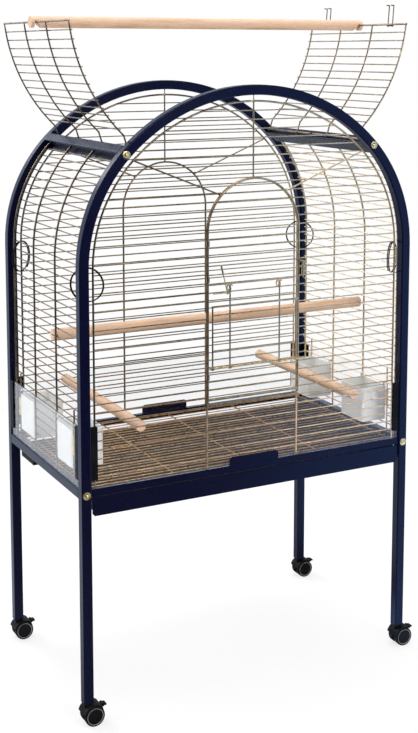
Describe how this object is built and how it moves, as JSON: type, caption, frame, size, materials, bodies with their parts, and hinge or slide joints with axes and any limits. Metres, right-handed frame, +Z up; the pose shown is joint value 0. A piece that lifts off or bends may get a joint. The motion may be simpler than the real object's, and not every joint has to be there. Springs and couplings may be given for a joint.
{
  "type": "dome top parrot cage",
  "caption": "Arched parrot cage on casters with wire panels, opening roof flaps and play perch, front door with drop hatch, clear seed guards, cups, perches and pull-out tray.",
  "frame": {"origin": "floor level, midway between the four posts", "axes": "X across the cage to the right seen from the front, Y from the front to the back, Z up"},
  "size_m": [0.9775, 0.551, 1.7298],
  "materials": {
    "navy_coat": "semi gloss textured powder coat",
    "brass_wire": "brass plated wire, satin",
    "brass": "polished brass",
    "tray_coat": "smooth dark coat",
    "beech": "sanded, unvarnished",
    "black_steel": "gloss black",
    "black_plastic": "moulded black",
    "white_plastic": "moulded white",
    "clear_acrylic": "clear polished sheet",
    "wheel_rubber": "moulded tread"
  },
  "bodies": {
    "frame": {"front_arch": "navy_coat", "rear_arch": "navy_coat", "left_beam": "navy_coat", "right_beam": "navy_coat", "left_side_rail": "navy_coat", "right_side_rail": "navy_coat", "front_rail": "navy_coat", "rear_rail": "navy_coat", "left_hinge_rod": "brass_wire", "right_hinge_rod": "brass_wire", "front_panel": "brass_wire", "rear_panel": "brass_wire", "left_panel": "brass_wire", "right_panel": "brass_wire", "floor_grate": "brass_wire", "frame_bolts": "brass", "feeder_sleeves": "brass", "drawer_runners": "tray_coat", "long_perch": "beech", "left_perch": "beech", "right_perch": "beech", "corner_rings": "black_steel", "leg_plugs": "black_plastic", "guard_channels": "black_plastic", "cup_front_left": "white_plastic", "cup_front_right": "white_plastic", "cup_rear_left": "white_plastic", "cup_rear_right": "white_plastic", "front_guard": "clear_acrylic", "rear_guard": "clear_acrylic", "left_guard": "clear_acrylic", "right_guard": "clear_acrylic"},
    "roof_left": {"left_flap": "brass_wire"},
    "roof_right": {"right_flap": "brass_wire", "flap_hooks": "brass_wire"},
    "top_perch": {"play_perch": "beech"},
    "door": {"main_door": "brass_wire", "hatch_rod": "brass"},
    "door_lock": {"door_latch": "brass"},
    "hatch_door": {"hatch": "brass_wire"},
    "hatch_lock": {"hatch_lever": "brass"},
    "drawer": {"tray": "tray_coat", "drawer_front": "navy_coat"},
    "caster_front_left": {"fork_front_left": "black_plastic"},
    "wheel_pair_front_left": {"wheels_front_left": "wheel_rubber"},
    "brake_lever_front_left": {"brake_front_left": "black_plastic"},
    "caster_front_right": {"fork_front_right": "black_plastic"},
    "wheel_pair_front_right": {"wheels_front_right": "wheel_rubber"},
    "brake_lever_front_right": {"brake_front_right": "black_plastic"},
    "caster_rear_left": {"fork_rear_left": "black_plastic"},
    "wheel_pair_rear_left": {"wheels_rear_left": "wheel_rubber"},
    "brake_lever_rear_left": {"brake_rear_left": "black_plastic"},
    "caster_rear_right": {"fork_rear_right": "black_plastic"},
    "wheel_pair_rear_right": {"wheels_rear_right": "wheel_rubber"},
    "brake_lever_rear_right": {"brake_rear_right": "black_plastic"}
  },
  "joints": [
    {"name": "left_flap_hinge", "type": "hinge", "parent": "frame", "child": "roof_left", "pos_m": [-0.32491, 0, 1.38437], "axis": [0, 1, 0], "range_deg": [0, 94]},
    {"name": "right_flap_hinge", "type": "hinge", "parent": "frame", "child": "roof_right", "pos_m": [0.32491, 0, 1.38437], "axis": [0, -1, 0], "range_deg": [0, 94]},
    {"name": "top_perch_lift", "type": "slide", "parent": "frame", "child": "top_perch", "axis": [0, 0, 1], "range_m": [0, 0.9854]},
    {"name": "door_hinge", "type": "hinge", "parent": "frame", "child": "door", "pos_m": [-0.128, -0.2578, 1], "axis": [0, 0, -1], "range_deg": [0, 90]},
    {"name": "door_lock_turn", "type": "hinge", "parent": "frame", "child": "door_lock", "pos_m": [0.136, -0.2663, 1.0855], "axis": [0, 1, 0], "range_deg": [0, 90]},
    {"name": "hatch_hinge", "type": "hinge", "parent": "door", "child": "hatch_door", "pos_m": [0, -0.26335, 0.838], "axis": [1, 0, 0], "range_deg": [0, 150]},
    {"name": "hatch_lock_turn", "type": "hinge", "parent": "door", "child": "hatch_lock", "pos_m": [-0.082, -0.27035, 1.025], "axis": [0, 1, 0], "range_deg": [0, 180]},
    {"name": "drawer_slide", "type": "slide", "parent": "frame", "child": "drawer", "axis": [0, -1, 0], "range_m": [0, 0.42]},
    {"name": "caster_front_left_swivel", "type": "hinge", "parent": "frame", "child": "caster_front_left", "pos_m": [-0.4525, -0.255, 0.07], "axis": [0, 0, 1], "continuous": true},
    {"name": "wheel_front_left_spin", "type": "hinge", "parent": "caster_front_left", "child": "wheel_pair_front_left", "pos_m": [-0.44, -0.255, 0.025], "axis": [0, 1, 0], "continuous": true},
    {"name": "brake_front_left_press", "type": "hinge", "parent": "caster_front_left", "child": "brake_lever_front_left", "pos_m": [-0.41581, -0.255, 0.0439], "axis": [0, 1, 0], "range_deg": [0, 18]},
    {"name": "caster_front_right_swivel", "type": "hinge", "parent": "frame", "child": "caster_front_right", "pos_m": [0.4525, -0.255, 0.07], "axis": [0, 0, 1], "continuous": true},
    {"name": "wheel_front_right_spin", "type": "hinge", "parent": "caster_front_right", "child": "wheel_pair_front_right", "pos_m": [0.465, -0.255, 0.025], "axis": [0, 1, 0], "continuous": true},
    {"name": "brake_front_right_press", "type": "hinge", "parent": "caster_front_right", "child": "brake_lever_front_right", "pos_m": [0.48919, -0.255, 0.0439], "axis": [0, 1, 0], "range_deg": [0, 18]},
    {"name": "caster_rear_left_swivel", "type": "hinge", "parent": "frame", "child": "caster_rear_left", "pos_m": [-0.4525, 0.255, 0.07], "axis": [0, 0, 1], "continuous": true},
    {"name": "wheel_rear_left_spin", "type": "hinge", "parent": "caster_rear_left", "child": "wheel_pair_rear_left", "pos_m": [-0.44, 0.255, 0.025], "axis": [0, 1, 0], "continuous": true},
    {"name": "brake_rear_left_press", "type": "hinge", "parent": "caster_rear_left", "child": "brake_lever_rear_left", "pos_m": [-0.41581, 0.255, 0.0439], "axis": [0, 1, 0], "range_deg": [0, 18]},
    {"name": "caster_rear_right_swivel", "type": "hinge", "parent": "frame", "child": "caster_rear_right", "pos_m": [0.4525, 0.255, 0.07], "axis": [0, 0, 1], "continuous": true},
    {"name": "wheel_rear_right_spin", "type": "hinge", "parent": "caster_rear_right", "child": "wheel_pair_rear_right", "pos_m": [0.465, 0.255, 0.025], "axis": [0, 1, 0], "continuous": true},
    {"name": "brake_rear_right_press", "type": "hinge", "parent": "caster_rear_right", "child": "brake_lever_rear_right", "pos_m": [0.48919, 0.255, 0.0439], "axis": [0, 1, 0], "range_deg": [0, 18]}
  ],
  "couplings": [
    {"joint": "right_flap_hinge", "follows": "left_flap_hinge", "ratio": 1},
    {"joint": "top_perch_lift", "follows": "left_flap_hinge", "m_per_rad": 0.6}
  ]
}
